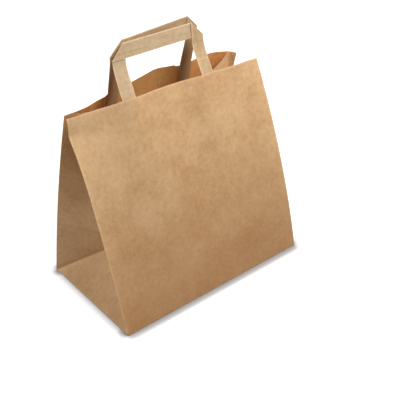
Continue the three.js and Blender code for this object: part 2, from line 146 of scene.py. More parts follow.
# The layer of wear and painted highlight, which makes the paper paler. At the folds: how strong
# and how wide in mm, for a narrow and a wide curve. At the base's edge, the rim and the tape's
# edges: how wide. At the rim, the tape's edges and in part the folds it is a painted highlight as
# well as wear. At the bend across a front leg: how strong, how wide and how far above the mouth.
# On the flaps and the tape's ends: how strong
FOLD_WEAR_AND_HIGHLIGHT = ((0.6, 1.5), (0.35, 14.0))
BASE_WEAR, RIM_WEAR_AND_HIGHLIGHT, TAPE_EDGE_WEAR_AND_HIGHLIGHT = 1.1, 1.2, 0.9
BEND_WEAR, BEND_WIDTH, BEND_ABOVE_MOUTH = 0.6, 0.7, 19.0
FLAP_WEAR, TAPE_END_WEAR = 0.3, 0.5

# The painted light near the rear right corner, which makes the paper paler on the rear panel's
# inner face and on the right gusset's rear half, in mm: how far it reaches from the fold and down
# from the mouth, and down to where it is brightest
PAINTED_LIGHT_ACROSS, PAINTED_LIGHT_DOWN, BRIGHTEST_PAINTED_LIGHT_DOWN = 50.0, 70.0, 10.0

# The layer of painted shade, which darkens the paper: how strong, and how far in mm. Along the
# base triangles' folds, and above and below them. On the panels, up from the base. On the left
# gusset, from a height to the mouth. On the rear legs, how strong, and where it starts to lessen
# and ends above the mouth
FOLD_PAINTED_SHADE, ABOVE_FOLD_PAINTED_SHADE, BELOW_FOLD_PAINTED_SHADE = (0.70, 1.3), (0.30, 6.0), (0.20, 12.0)
PANEL_PAINTED_SHADE, GUSSET_PAINTED_SHADE = (0.44, 190.0), (0.25, 110.0)
LEG_PAINTED_SHADE, LEG_PAINTED_SHADE_SLOPE = 0.58, (10.0, 40.0)

# The most that an offset is lengthened at a fold, as the cosine between fold and face
LEAST_COSINE = 0.6

# How fine the surfaces are
LINE_STEPS = 24
NOISE_CELLS = 64
TRIANGLE_CELLS, PANEL_CELLS, FOLD_CELLS = 36, 90, 6
GLUED_ROWS, FREE_ROWS, FLAT_ROWS, TURN_ROWS, BAR_ROWS = 34, 24, 8, 7, 40
SECTION_TURN, SECTION_FLAT = 7, 12
PATCH_COLUMNS, PATCH_ROWS = 141, 41

# The sheet's six faces, in order round the tube from the front panel's left edge
FRONT_FACE, RIGHT_FRONT, RIGHT_REAR, REAR_FACE, LEFT_REAR, LEFT_FRONT = range(6)

# The bag's materials, by their place in its list
BAG_OUTSIDE, BAG_INSIDE = 0, 1

# The paper's other tones, as factors of its own red, green and blue: lighter and darker for its
# random tone, paler for wear and painted highlight, and darker for painted shade
LIGHT, DARK = (1.18, 1.25, 1.36), (0.84, 0.75, 0.64)
WEAR_AND_HIGHLIGHT_TONE, SHADED = (1.50, 1.55, 1.65), (0.60, 0.36, 0.18)

# The dark fibres up the paper and the pale ones across it: their noise, where in it they start
# and are full, how strong they are, and their tone's factors
FIBRES = (
    ("fibres", (0.66, 0.80), 0.32, (0.52, 0.52, 0.52)),
    ("across", (0.64, 0.80), 0.30, (1.45, 1.45, 1.45)),
)

# How far the paper turns paler for wear and painted highlight everywhere, and how much farther
# where the mottling is high
LIGHTEN_EVEN, LIGHTEN_MOTTLED, LIGHTEN_RANGE = 0.35, 0.45, (0.25, 0.75)

# The paper's roughness, and how much the mottling and wear change it
ROUGHNESS, ROUGH_MOTTLED, ROUGH_WORN = 0.80, 0.14, 0.06

# How much each noise changes the paper's tone, and its height
TONE_WEIGHTS = {"clouds": 0.90, "mottling": 0.95, "patches": 0.40, "streaks": 0.18, "fine": 0.50}
HEIGHT_WEIGHTS = {"fine": 0.6, "fibres": 0.5, "across": 0.5, "mottling": 0.8}

# Where in the noise the widest clouds in the paper's tone are taken from, in metres: chosen so
# that a lighter cloud lies at the front panel's left and a darker one low in its middle, painted
# light and shade on the random tone
CLOUD_SHIFT = (0.87, 0.63, -1.0)

# The photographed view: the camera's place in metres, and its direction in degrees
CAMERA_PLACE = (-0.3929, -0.5916, 0.5063)
CAMERA_AZIMUTH, CAMERA_ELEVATION, CAMERA_ROLL = -36.45, 30.81, -3.83

# The floor: half its width in metres, its glow, its grain's darker tone, and the reach in metres
# and the power of the painted contact shadow where the bag meets it, where the glow is taken away
FLOOR_HALF, FLOOR_GLOW, FLOOR_GRAIN = 4.0, 0.88, (0.99, 0.99, 0.99)
CONTACT_REACH, CONTACT_POWER = 0.014, 8.0

# The even light from all round
WORLD_LIGHT = 0.27

# Soft lamps: name, place and aim in metres, width, power in watts and colour
LAMPS = (
    ("key_lamp", (0.22, -0.50, 0.82), (0.0, -0.03, 0.16), 0.45, 6.1, (1.0, 0.985, 0.96)),
    ("left_lamp", (-0.97, 0.34, 0.88), (0.0, 0.0, 0.12), 0.7, 7.2, (0.94, 0.96, 1.0)),
    ("rear_lamp", (0.75, 1.15, 0.75), (0.0, 0.05, 0.12), 0.8, 9.0, (1.0, 0.985, 0.96)),
)


class BagSizes(bpy.types.PropertyGroup):
    """The sizes that the bag is folded from"""

    width: FloatProperty(
        name="Width", description="Width of the front and rear panels at the base",
        default=BODY_HIGH[0] - BODY_LOW[0], min=0.05, unit="LENGTH",
    )
    depth: FloatProperty(
        name="Depth", description="Depth of the base, twice the width of half a gusset",
        default=0.17, min=0.03, unit="LENGTH",
    )
    height: FloatProperty(
        name="Paper height", description="Height of the walls, measured along the paper",
        default=0.249, min=0.05, unit="LENGTH",
    )
    paper: FloatProperty(
        name="Paper thickness", description="Thickness of the bag's sheet",
        default=0.00025, min=0.0001, precision=5, unit="LENGTH",
    )
    fold: FloatProperty(
        name="Fold width", description="Width of the rounded strip where the sheet turns",
        default=0.0008, min=0.0002, precision=5, unit="LENGTH",
    )
    seam_lap: FloatProperty(
        name="Seam lap", description="Width of the glued lap on the rear panel",
        default=0.018, min=0.004, unit="LENGTH",
    )
    seam_place: FloatProperty(
        name="Seam place", description="Distance of the lap from the rear panel's corner",
        default=0.022, min=0.0, unit="LENGTH",
    )
    flap_overlap: FloatProperty(
        name="Flap overlap", description="How far the base's two flaps overlap",
        default=0.02, min=0.0, unit="LENGTH",
    )


class HandleSizes(bpy.types.PropertyGroup):
    """The sizes of the handles and of the patches that hold them"""

    width: FloatProperty(
        name="Width", description="Width over both legs", default=0.124, min=0.03, unit="LENGTH",
    )
    tape: FloatProperty(
        name="Tape width", description="Width of the folded tape",
        default=0.017, min=0.004, unit="LENGTH",
    )
    thickness: FloatProperty(
        name="Tape thickness", description="Thickness of the folded tape",
        default=0.0008, min=0.0002, precision=5, unit="LENGTH",
    )
    tuck: FloatProperty(
        name="Tuck", description="Length of each leg glued inside the bag",
        default=0.075, min=0.01, unit="LENGTH",
    )
    patch_margin: FloatProperty(
        name="Patch margin", description="How far the patch reaches past the legs",
        default=0.008, min=0.0, unit="LENGTH",
    )
    patch_drop: FloatProperty(
        name="Patch drop", description="Distance of the patch below the mouth",
        default=0.028, min=0.0, unit="LENGTH",
    )
    patch_height: FloatProperty(
        name="Patch height", description="Height of the patch",
        default=0.05, min=0.01, unit="LENGTH",
    )


class PaperTones(bpy.types.PropertyGroup):
    """The colours of the papers, as linear red, green and blue"""

    outside: FloatVectorProperty(
        name="Outside", description="The sheet's outer face",
        default=(0.60, 0.375, 0.190), size=3, min=0, max=1, subtype="COLOR",
    )
    # Its deep orange stands in for light shining through the paper and bounced round inside the
    # bag: painted light
    inside: FloatVectorProperty(
        name="Inside", description="The sheet's inner face",
        default=(0.66, 0.330, 0.110), size=3, min=0, max=1, subtype="COLOR",
    )
    tape: FloatVectorProperty(
        name="Handle tape", description="The folded handle tape",
        default=(0.56, 0.400, 0.238), size=3, min=0, max=1, subtype="COLOR",
    )
    patch: FloatVectorProperty(
        name="Patch", description="The patches over the handles' legs",
        default=(0.52, 0.30, 0.13), size=3, min=0, max=1, subtype="COLOR",
    )


class StageSettings(bpy.types.PropertyGroup):
    """The floor, the lights and the camera"""

    floor: FloatVectorProperty(
        name="Floor", description="The floor's colour",
        default=(0.42, 0.42, 0.42), size=3, min=0, max=1, subtype="COLOR",
    )
    lens: FloatProperty(
        name="Lens", description="The camera's focal length in millimetres on a 36 mm sensor",
        default=60.07, min=10, unit="CAMERA",
    )


class Bag:
    """The bag's sizes in millimetres, read once for each piece. Half a gusset is half the depth
    less the fold at the panel and half of the crease."""

    def __init__(self, scene):
        bag, handle = scene.bag_sizes, scene.handle_sizes
        self.width, self.depth, self.height = (v / MM for v in (bag.width, bag.depth, bag.height))
        self.paper, self.fold = bag.paper / MM, bag.fold / MM
        self.seam = (bag.seam_place / MM, (bag.seam_place + bag.seam_lap) / MM)
        self.overlap = bag.flap_overlap / MM
        self.half_gusset = self.depth / 2 - self.fold * 1.5
        self.handle, self.tape = handle.width / MM, handle.tape / MM
        self.thickness, self.tuck = handle.thickness / MM, handle.tuck / MM
        self.patch_width = self.handle + 2 * handle.patch_margin / MM
        self.patch_top = self.height - handle.patch_drop / MM
        self.patch_bottom = self.patch_top - handle.patch_height / MM
        self.leg_depth = self.paper + GLUE_GAP


def smooth_line(points):
    """Closely set points of a line through the given ones: between two neighbours a cubic whose
    slope at each point is half the step between the points on its two sides."""
    p = np.asarray(points, float)
    ahead = np.vstack([p[1:], p[-1:]])
    slope = (ahead - np.vstack([p[:1], p[:-1]])) / 2
    t = np.linspace(0, 1, LINE_STEPS, endpoint=False)[None, :, None]
    a, b, va, vb = (v[:, None, :] for v in (p[:-1], p[1:], slope[:-1], slope[1:]))
    cubic = (2 * a - 2 * b + va + vb) * t**3 + (3 * b - 3 * a - 2 * va - vb) * t**2 + va * t + a
    return np.vstack([cubic.reshape(-1, 2), p[-1:]])


def mix(a, b, t):
    """a where t is 0, b where t is 1."""
    return a + (b - a) * t


def level_ends(t):
    """From 0 to 1 with a level start and end: three times the square less twice the cube."""
    return t * t * (3 - 2 * t)


def smooth_step(low, high, x):
    """0 below low, 1 above high, with a level start and end between."""
    return level_ends(np.clip((x - low) / (high - low), 0, 1))


def bell(x, width):
    """1 at 0, and falling by the exponential of the square of x over the width."""
    return np.exp(-((x / width) ** 2))


def value_noise(u, v, cell, seed):
    """Smooth random hills: a grid of seeded numbers from -1 to 1, one for each cell, joined by
    level-ended steps along both ways."""
    table = np.random.default_rng(seed).uniform(-1, 1, (NOISE_CELLS, NOISE_CELLS))
    a, b = u / cell[0], v / cell[1]
    i, j = np.floor(a).astype(int), np.floor(b).astype(int)
    s, t = level_ends(a - i), level_ends(b - j)
    columns = (i % NOISE_CELLS, (i + 1) % NOISE_CELLS)
    near, far = (
        mix(table[columns[0], row], table[columns[1], row], s)
        for row in (j % NOISE_CELLS, (j + 1) % NOISE_CELLS)
    )
    return mix(near, far, t)


def pattern_place(across, up):
    """Places in metres for a pattern that follows the paper, from mm across it and up it."""
    return np.stack(np.broadcast_arrays(across, up), -1) * MM


class Panel:
    """The front or the rear panel as a surface of the fraction across and the height up."""

    def __init__(self, bag, side, mouth, draw_in, bow, top):
        self.bag, self.side, self.top = bag, side, top
        self.mouth, self.draw_in, self.bow = smooth_line(mouth), draw_in, bow

    def mouth_y(self, across):
        """The Y of the mouth's line at fractions of the panel's width."""
        return np.interp(across, self.mouth[:, 0], self.mouth[:, 1])

    def dent(self, across, up):
        """The front panel's pocket. It is deepest a little below the mouth at the left edge and
        dies away with the square of the distance up and down, and exponentially across. The
        distance is rounded there by the root of its square plus a radius's square."""
        if self.side == REAR:
            return 0.0
        low = up - (self.bag.height - DENT_BELOW_MOUTH)
        far = np.hypot(low, DENT_ROUND) - DENT_ROUND
        away = far / np.where(low < 0, DENT_REACH_DOWN, DENT_BELOW_MOUTH - DENT_ROUND / 2)
        lighten = np.exp(-across * self.bag.width / DENT_REACH_ACROSS)
        return DENT_DEPTH * np.clip(1 - away, 0, 1) ** 2 * lighten

    def buckle(self, across, up):
        """Soft buckles of the stiff sheet: two sizes of smooth hills, longer up the paper than
        across, that die away towards the folds, and a faint ridge over each glued leg."""
        bag, x = self.bag, across * self.bag.width
        hills = 0.0
        for seed, (height, cell) in enumerate(BUCKLES, BUCKLE_SEED[self.side]):
            hills = hills + height * value_noise(x, up, cell, seed)
        edge = np.minimum(across, 1 - across) * bag.width
        hills = hills * smooth_step(*BUCKLE_FROM_SIDE, edge) * smooth_step(*BUCKLE_FROM_BASE, up)
        from_leg = np.abs(np.abs(x - bag.width / 2) - (bag.handle - bag.tape) / 2)
        start, end = (bag.tape / 2 + slope for slope in RIDGE_BESIDE)
        ridge = LEG_RIDGE * (1 - smooth_step(start, end, from_leg))
        leg_end = bag.height - bag.tuck
        return hills + ridge * smooth_step(leg_end + RIDGE_BELOW, leg_end, up)

    def point(self, across, up):
        """The outer face. Each upright line leans from the base edge to the mouth's line,
        with a parabola's bow on the way, and the mouth's waves fade downwards as a power of
        the height. Its rise keeps the length of the line that of the paper."""
        bag = self.bag
        across, up = np.broadcast_arrays(np.asarray(across, float), np.asarray(up, float))
        part = up / bag.height
        base_y = self.side * bag.depth / 2
        at_mouth = self.mouth_y(across)
        straight = mix(self.mouth_y(0.0), self.mouth_y(1.0), across)
        bow = mix(self.bow[0], self.bow[1], across)
        y = mix(base_y, straight, part) + (at_mouth - straight) * part**WAVE_FADE
        y = y + self.side * (bow * 4 * part * (1 - part) - self.dent(across, up))
        y = y + self.side * self.buckle(across, up)
        lean = np.abs(base_y - at_mouth)
        z = part * np.sqrt(bag.height**2 - lean**2 - 16 / 3 * bow**2)
        x = mix(-bag.width / 2, bag.width / 2, across)
        x = x + part * mix(self.draw_in[0], -self.draw_in[1], across)
        return np.stack([x, y, bag.paper + z], -1)

    def outward(self, across, up):
        """The unit outward direction: the cross product of the slopes across and up, taken
        over a thousandth of the width and a tenth of a millimetre to both sides."""
        beside, above = 0.001, 0.1
        along = self.point(across + beside, up) - self.point(across - beside, up)
        rising = self.point(across, up + above) - self.point(across, up - above)
        normal = np.cross(along, rising) * -self.side
        return normal / np.linalg.norm(normal, axis=-1, keepdims=True)

    def fraction(self, x):
        """Where a distance along X at the mouth lies as a fraction of the panel's width."""
        left, right = self.point(np.array([0.0, 1.0]), self.bag.height)[:, 0]
        return (x - left) / (right - left)


def front_panel(bag):
    """The front panel, with its mouth, bow and dent."""
    return Panel(bag, FRONT, FRONT_MOUTH, FRONT_DRAW_IN, FRONT_BOW, FRONT_TOP)


def rear_panel(bag):
    """The rear panel, with its mouth and bow."""
    return Panel(bag, REAR, REAR_MOUTH, REAR_DRAW_IN, REAR_BOW, REAR_TOP)


class Gusset:
    """One side gusset: a tilted base triangle, and two halves that fold in to a crease. The
    triangle's tilt is the mean of those at which each half keeps the width of its paper, and
    it is tipped a little more."""

    def __init__(self, bag, to_right, front, rear):
        self.bag, self.across = bag, 1.0 if to_right else 0.0
        self.inward = -1 if to_right else 1
        self.panels = (front, rear)
        half = bag.half_gusset
        tilts = []
        for index in (0, 1):
            top = self.edge(index, half) - self.edge(index, 0.0)
            sideways = self.inward * top[0]
            reach = (half**2 + top @ top) / (2 * half) - abs(top[1])
            length = math.hypot(sideways, top[2])
            tilts.append(math.atan2(sideways, top[2]) + math.acos(min(1, reach / length)))
        self.tilt = sum(tilts) / 2 + math.radians(TRIANGLE_TIP)
        apex = self.triangle(0.0, half) - self.middle(half)
        self.apex_droop = math.atan2(-apex[2], self.inward * apex[0])
        self.mouth_droop = math.radians(CREASE_DROOP[to_right])

    def edge(self, index, up):
        """The gusset's edge: the panel's edge moved in by the width of the fold."""
        step = self.bag.fold if index == 0 else -self.bag.fold
        return self.panels[index].point(self.across, up) + np.array([0, step, 0])

    def middle(self, up):
        """Halfway between the gusset's two edges."""
        return (self.edge(0, up) + self.edge(1, up)) / 2

    def triangle(self, y, up):
        """A point of the base triangle's plane, which hinges on the base's side edge."""
        y, up = np.broadcast_arrays(np.asarray(y, float), np.asarray(up, float))
        x = -self.inward * self.bag.width / 2 + self.inward * up * math.sin(self.tilt)
        return np.stack([x, y, self.bag.paper + up * math.cos(self.tilt)], -1)

    def crease(self, up):
        """The crease lies half a gusset from both edges, and its direction turns from the
        triangle's apex to its droop at the mouth."""
        half = self.bag.half_gusset
        up = np.maximum(up, half)
        gap = np.linalg.norm(self.edge(0, up) - self.edge(1, up), axis=-1) / 2 - self.bag.fold / 2
        reach = np.sqrt(np.maximum(half**2 - gap**2, 0))
        droop = mix(self.apex_droop, self.mouth_droop, (up - half) / (self.bag.height - half))
        step = [self.inward * reach * np.cos(droop), 0 * reach, -reach * np.sin(droop)]
        return self.middle(up) + np.stack(step, -1)

    def point(self, index, inside, up):
        """The face at a distance in from a panel's edge: below the diagonal it is the
        triangle's plane, and above it a straight line from the edge to the crease."""
        inside, up = np.broadcast_arrays(np.asarray(inside, float), np.asarray(up, float))
        half, side = self.bag.half_gusset, (FRONT, REAR)[index]
        corner = self.bag.depth / 2 - self.bag.fold
        low = self.triangle(side * (corner - inside), up)
        diagonal = self.triangle(side * (corner - up), up)
        crease = self.crease(up) + np.array([0, side * self.bag.fold / 2, 0])
        far = np.where((up <= half)[..., None], diagonal, crease)
        share = inside / np.maximum(np.minimum(up, half), 1e-9)
        high = mix(self.edge(index, up), far, np.clip(share, 0, 1)[..., None])
        return np.where((up < inside)[..., None], low, high)


def grid_normals(grid, closed):
    """The outward direction at each grid point: the mean of the normals of the cells round it,
    lengthened at folds by one over their cosine, so that an offset keeps its thickness. A grid
    that isn't closed repeats the cells at its sides, as every grid does below and above."""
    ring = np.concatenate([grid, grid[:, :1]], 1) if closed else grid
    a = ring[1:, 1:] - ring[:-1, :-1]
    b = ring[1:, :-1] - ring[:-1, 1:]
    face = np.cross(a, b)
    face /= np.maximum(np.linalg.norm(face, axis=-1, keepdims=True), 1e-12)
    face = np.concatenate([face[:1], face, face[-1:]], 0)
    side = (face[:, -1:], face[:, :1]) if closed else (face[:, :1], face[:, -1:])
    face = np.concatenate([side[0], face] if closed else [side[0], face, side[1]], 1)
    if closed:
        face = np.concatenate([face, face[:, 1:2]], 1)
    around = [face[:-1, :-1], face[1:, :-1], face[:-1, 1:], face[1:, 1:]]
    mean = sum(around)
    mean /= np.maximum(np.linalg.norm(mean, axis=-1, keepdims=True), 1e-12)
    least = np.min([(f * mean).sum(-1) for f in around], 0)
    mean = mean / np.clip(least, LEAST_COSINE, 1)[..., None]
    return mean[:, : grid.shape[1]]


def build_mesh(name, points, faces, material_of_face, materials, layers):
    """A mesh object from arrays: points in mm, faces as rows of three or four corners (a
    triangle's fourth is -1), each face's material number, and layers with a value for each
    point: "paper" is the UV map, and the others are float attributes."""
    mesh = bpy.data.meshes.new(name)
    mesh.vertices.add(len(points))
    mesh.vertices.foreach_set("co", (np.asarray(points) * MM).astype(np.float32).ravel())
    counts = (faces >= 0).sum(1)
    corners = faces[faces >= 0].astype(np.int32)
    starts = np.concatenate([[0], np.cumsum(counts)[:-1]]).astype(np.int32)
    mesh.loops.add(len(corners))
    mesh.loops.foreach_set("vertex_index", corners)
    mesh.polygons.add(len(counts))
    mesh.polygons.foreach_set("loop_start", starts)
    mesh.polygons.foreach_set("material_index", material_of_face.astype(np.int32))
    mesh.polygons.foreach_set("use_smooth", np.ones(len(counts), bool))
    for layer, values in layers.items():
        if layer == "paper":
            uv = mesh.uv_layers.new(name=layer)
            uv.data.foreach_set("uv", values[corners].astype(np.float32).ravel())
        else:
            item = mesh.attributes.new(layer, "FLOAT", "POINT")
            item.data.foreach_set("value", values.astype(np.float32))
    for material in materials:
        mesh.materials.append(material)
    mesh.update(calc_edges=True)
    mesh.validate()
    piece = bpy.data.objects.new(name, mesh)
    bpy.context.scene.collection.objects.link(piece)
    return piece


def fan(count, middle, facing_down=False):
    """Triangles from a ring of points, numbered from 0, to a middle point."""
    i = np.arange(count)
    j = np.roll(i, -1)
    first, second = (j, i) if facing_down else (i, j)
    return np.stack([first, second, np.full(count, middle)], 1)


class Shell:
    """Collects grids and plates of one piece: points, faces, material numbers and layers."""

    def __init__(self):
        self.points, self.faces, self.kinds, self.uv, self.wear_and_highlight, self.painted_shade = [], [], [], [], [], []
        self.count = 0

    def add(self, points, faces, kind, uv, wear_and_highlight, painted_shade=0.0):
        """Adds points and the faces between them, as rows of three or four of their numbers."""
        points = points.reshape(-1, 3)
        if faces.shape[1] == 3:
            faces = np.column_stack([faces, np.full(len(faces), -1)])
        self.points.append(points)
        self.faces.append(np.where(faces >= 0, faces + self.count, -1))
        self.kinds.append(np.full(len(faces), kind))
        self.uv.append(uv.reshape(-1, 2))
        self.wear_and_highlight.append(np.broadcast_to(wear_and_highlight, uv.shape[:-1]).ravel())
        self.painted_shade.append(np.broadcast_to(painted_shade, uv.shape[:-1]).ravel())
        self.count += len(points)

    def grid(self, points, closed, kind, uv, wear_and_highlight=0.0, painted_shade=0.0, rising=None):
        """Faces between neighbouring points, with rows up and columns to the right, seen from
        outside. Closed joins the last column to the first. Rising splits each column's cells
        into triangles, from lower left to upper right where it is true."""
        rows, columns = points.shape[:2]
        index = np.arange(rows * columns).reshape(rows, columns)
        if closed:
            index = np.concatenate([index, index[:, :1]], 1)
        a, b = index[:-1, :-1], index[:-1, 1:]
        c, d = index[1:, 1:], index[1:, :-1]
        if rising is None:
            faces = np.stack([a, b, c, d], -1).reshape(-1, 4)
        else:
            low = np.stack([a, b, np.where(rising, c, d)], -1)
            high = np.stack([np.where(rising, a, b), c, d], -1)
            faces = np.concatenate([low, high]).reshape(-1, 3)
        self.add(points, faces, kind, uv, wear_and_highlight, painted_shade)

    def cap(self, ring, middle, facing_down, kind, uv_scale, wear_and_highlight):
        """Closes a ring by triangles round a middle point."""
        points = np.vstack([ring, middle])
        faces = fan(len(ring), len(ring), facing_down)
        self.add(points, faces, kind, points[:, :2] * uv_scale, wear_and_highlight)

    def make(self, name, materials):
        """The mesh object of all that was added."""
        layers = {"paper": self.uv, "wear_and_highlight": self.wear_and_highlight, "painted_shade": self.painted_shade}
        return build_mesh(
            name, np.concatenate(self.points), np.concatenate(self.faces),
            np.concatenate(self.kinds), materials,
            {key: np.concatenate(values) for key, values in layers.items()},
        )


class Sheet:
    """The bag's sheet as a grid: heights up the paper, and columns that go round the tube from
    the front panel's left edge, seen from outside. Its six faces have a turn after each. Its
    layers say where the seam's lap is, where shade, light and highlights are painted on the paper,
    where it is rubbed paler, and which way the cells of each column are split."""

    def __init__(self, bag):
        self.bag = bag
        self.up = self.heights()
        self.inside = np.linspace(0, bag.half_gusset, TRIANGLE_CELLS + 1)
        self.seam = np.array(bag.seam) / bag.width
        self.rear_across = self.rear_columns()
        faces = self.faces(front_panel(bag), rear_panel(bag))
        turns = [self.turn(face, after) for face, after in zip(faces, faces[1:] + faces[:1])]
        self.columns = [face.shape[1] for face in faces]
        self.points = np.concatenate([part for pair in zip(faces, turns) for part in pair], 1)
        step = np.linalg.norm(np.diff(self.points[-1], axis=0), axis=-1)
        self.around = np.concatenate([[0], np.cumsum(step)])
        on_lap = (self.rear_across > self.seam[0]) & (self.rear_across < self.seam[1])
        self.lap = self.layer({REAR_FACE: on_lap})
        self.painted_shade = self.shade()
        # Painted light near the mouth at the rear right corner: the rear panel's inner face and the
        # right gusset's rear half are made paler there
        pale = smooth_step(bag.height - PAINTED_LIGHT_DOWN, bag.height - BRIGHTEST_PAINTED_LIGHT_DOWN, self.up)[:, None]
        by_corner = 1 - smooth_step(0, PAINTED_LIGHT_ACROSS, (1 - self.rear_across) * bag.width)
        self.painted_light_inside = self.layer({REAR_FACE: pale * by_corner})
        painted_light_outside = self.layer({RIGHT_REAR: pale}, {RIGHT_REAR: pale})
        self.wear_and_highlight = np.maximum(self.wear_and_highlight_strength(), painted_light_outside)
        rising = {face: face not in (RIGHT_REAR, LEFT_FRONT) for face in range(len(faces))}
        self.rising = self.layer(rising, dict.fromkeys(rising, True))[0] > 0

    def heights(self):
        """Heights up the paper: as many cells up to the triangles' tips as across half a gusset,
        so that their sloping folds run from corner to corner, and as dense above."""
        bag = self.bag
        pitch = bag.half_gusset / TRIANGLE_CELLS
        count = round((bag.height - bag.half_gusset) / pitch)
        above = np.linspace(bag.half_gusset, bag.height, count)
        return np.concatenate([np.arange(TRIANGLE_CELLS) * pitch, above])

    def rear_columns(self):
        """Fractions across the rear panel from right to left, with a close pair at each edge of
        the seam's lap, where the outer face steps out by the paper's thickness."""
        steps = self.seam + np.array([1, -1]) * 0.5 * self.bag.paper / self.bag.width
        even = np.linspace(0, 1, PANEL_CELLS + 1)
        return np.unique(np.concatenate([even, self.seam, steps]))[::-1]

    def faces(self, front, rear):
        """The points of the six faces, in order round the tube."""
        up, inward, outward = self.up[:, None], self.inside, self.inside[::-1]
        right, left = (Gusset(self.bag, to_right, front, rear) for to_right in (True, False))
        across = np.linspace(0, 1, PANEL_CELLS + 1)
        return [
            front.point(across, self.rim(front, across)),
            right.point(0, inward, up),
            self.curled(right.point(1, outward, up), rear, outward),
            rear.point(self.rear_across, self.rim(rear, self.rear_across)),
            left.point(1, inward, up),
            left.point(0, outward, up),
        ]

    def layer(self, on_faces, on_turns=None):
        """Values over the whole grid from those on some faces and on the turns after some
        faces, by the faces' numbers. All the others are 0."""
        on_turns = on_turns or {}
        rows, parts = len(self.up), []
        for face, columns in enumerate(self.columns):
            parts.append(np.broadcast_to(on_faces.get(face, 0.0), (rows, columns)))
            parts.append(np.broadcast_to(on_turns.get(face, 0.0), (rows, FOLD_CELLS - 1)))
        return np.concatenate(parts, 1)

    def shade(self):
        """The painted shade on the faces: the panels most at the base, the gussets along their
        triangles' folds, and the left one towards the mouth too, by level-ended steps."""
        up = self.up[:, None]
        panel = PANEL_PAINTED_SHADE[0] * (1 - smooth_step(0, PANEL_PAINTED_SHADE[1], up))
        mouth = GUSSET_PAINTED_SHADE[0] * smooth_step(GUSSET_PAINTED_SHADE[1], self.bag.height, up)
        inward = self.corner_shade(up - self.inside)
        outward = self.corner_shade(up - self.inside[::-1])
        return self.layer({
            FRONT_FACE: panel, RIGHT_FRONT: inward, RIGHT_REAR: outward,
            REAR_FACE: panel, LEFT_REAR: inward + mouth, LEFT_FRONT: outward + mouth,
        })

    def corner_shade(self, above):
        """The painted shade along the base triangles' sloping folds: a bell curve of the
        distance from the fold, on the side above it an exponential, and on the triangle below
        it a level-ended step."""
        away = above / math.sqrt(2)
        fold = FOLD_PAINTED_SHADE[0] * bell(away, FOLD_PAINTED_SHADE[1])
        over = ABOVE_FOLD_PAINTED_SHADE[0] * np.exp(-np.abs(away) / ABOVE_FOLD_PAINTED_SHADE[1]) * (away > 0)
        return fold + over + BELOW_FOLD_PAINTED_SHADE[0] * smooth_step(0, BELOW_FOLD_PAINTED_SHADE[1], -away)

    def rim(self, panel, across):
        """The height up the paper with the mouth's small steps in it: the cut edge stands a
        little higher along one stretch, and runs not quite straight."""
        bag, up = self.bag, self.up[:, None]
        x = across * bag.width - bag.width / 2
        height, start, end = RIM_STEP[panel.side]
        step = height * smooth_step(start - RIM_SLOPE, start + RIM_SLOPE, x)
        step = step * (1 - smooth_step(end - RIM_SLOPE, end + RIM_SLOPE, x))
        wave = value_noise(x + RIM_WAVE_START, 0 * x, RIM_WAVE_CELL, RIM_SEED[panel.side])
        step = step + RIM_WAVE * wave
        return up + step * smooth_step(bag.height - RIM_REACH, bag.height, up)

    def curled(self, gusset, rear, inside):
        """Near the mouth the rear panel's right end curls forward, and the gusset lies against
        it before it goes straight to its crease: a blend of both whose share is the one that
        gives such a line, rounded where the two meet, and a level-ended step of the height."""
        bag = self.bag
        line = CURL_ACROSS / (bag.half_gusset - CURL_ACROSS)
        line = line * (bag.half_gusset / np.maximum(inside, 1e-3) - 1)
        against = rear.point(1 - inside / bag.width, self.up[:, None]) - [0, bag.fold, 0]
        near = smooth_step(bag.height - CURL_DOWN, bag.height, self.up)[:, None]
        share = near * line / (1 + line**CURL_TURN) ** (1 / CURL_TURN)
        return mix(gusset, against, share[..., None])

    def turn(self, face, after):
        """The rounded strip of a fold: straight from one face's edge to the next one's, pushed
        out along the first face to a half circle, as far as the two faces run back to back."""
        start, end = face[:, -1], after[:, 0]
        along = start - face[:, -3]
        along /= np.linalg.norm(along, axis=-1, keepdims=True)
        onward = after[:, 2] - end
        onward /= np.linalg.norm(onward, axis=-1, keepdims=True)
        back = np.clip(-(along * onward).sum(-1), 0, 1)[:, None, None]
        t = (np.arange(1, FOLD_CELLS) / FOLD_CELLS)[None, :, None]
        t = (1 - np.cos(math.pi * t)) / 2
        gap = np.linalg.norm(end - start, axis=-1)[:, None, None]
        push = gap * back * np.sqrt(t * (1 - t))
        return mix(start[:, None], end[:, None], t) + along[:, None] * push

    def wear_and_highlight_strength(self):
        """How much the sheet is rubbed paler, with a painted highlight at the rim and along the
        folds:
        1 at the base's edge and at the rim, and a part of it at the folds but the gussets'
        creases: bell curves of the height, and a narrow and a wide one of the distance round
        the sheet to the nearest fold. The largest counts."""
        ends = np.cumsum(np.array(self.columns) + FOLD_CELLS - 1)
        folds = np.delete(ends - FOLD_CELLS // 2, [RIGHT_FRONT, LEFT_REAR])
        away = np.abs(self.around[:, None] - self.around[folds][None, :])
        away = np.minimum(away, self.around[-1] - away).min(1)
        near = sum(height * bell(away, width) for height, width in FOLD_WEAR_AND_HIGHLIGHT)
        base = bell(self.up, BASE_WEAR)
        rim = bell(self.bag.height - self.up, RIM_WEAR_AND_HIGHLIGHT)
        return np.maximum(near[None, :], np.maximum(base, rim)[:, None])


def base_row(bag, row, inset, height):
    """A row of the sheet laid level at a height and kept an inset away from the base's edge."""
    edge = np.array([bag.width / 2, bag.depth / 2])
    level = row.copy()
    level[:, :2] = np.clip(row[:, :2], inset - edge, edge - inset)
    level[:, 2] = height
    return level


